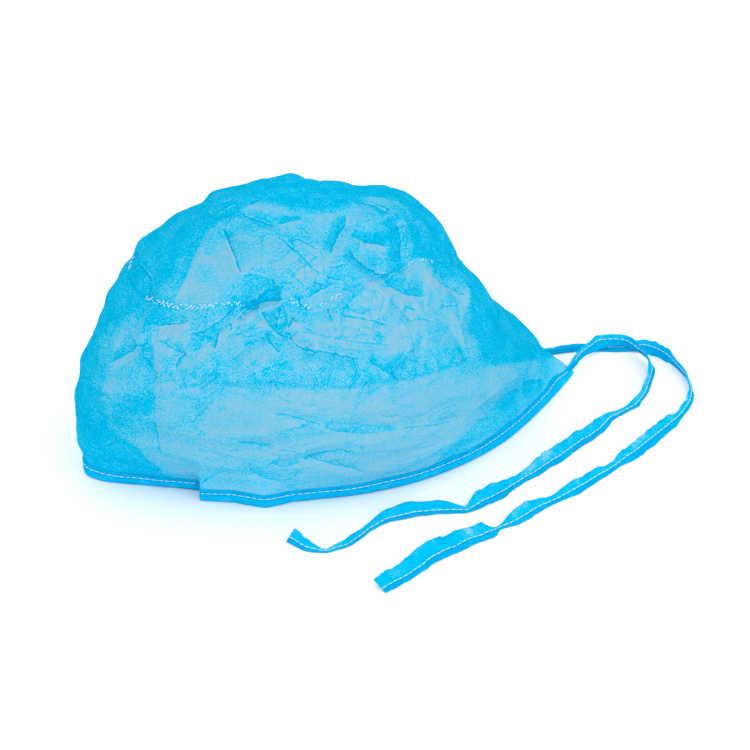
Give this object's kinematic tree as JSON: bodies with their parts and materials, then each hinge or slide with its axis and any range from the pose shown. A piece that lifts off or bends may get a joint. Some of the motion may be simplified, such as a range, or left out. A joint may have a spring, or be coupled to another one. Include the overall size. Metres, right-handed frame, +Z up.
{
  "type": "surgical cap",
  "caption": "Thin non-woven surgical cap: a gathered crown on a crumpled side panel, a stitched binding round the open rim, and flat ties at the back opening.",
  "frame": {"origin": "on the table, in the middle of the cap's own box without its ties", "axes": "+X from the front to the back opening, +Y to the far side, +Z up through the crown"},
  "size_m": [0.3319, 0.2372, 0.1324],
  "materials": {
    "cloth": "thin point-bonded non-woven, pale sky blue, matt with a soft sheen",
    "binding": "folded non-woven strip, deeper blue where layers lie together, white running stitch",
    "ties": "folded non-woven strip, deeper blue where layers lie together, white running stitch"
  },
  "bodies": {
    "root": {"crown": "cloth", "side_panel": "cloth", "binding": "binding", "tie_near": "ties", "tie_far": "ties"}
  },
  "joints": []
}
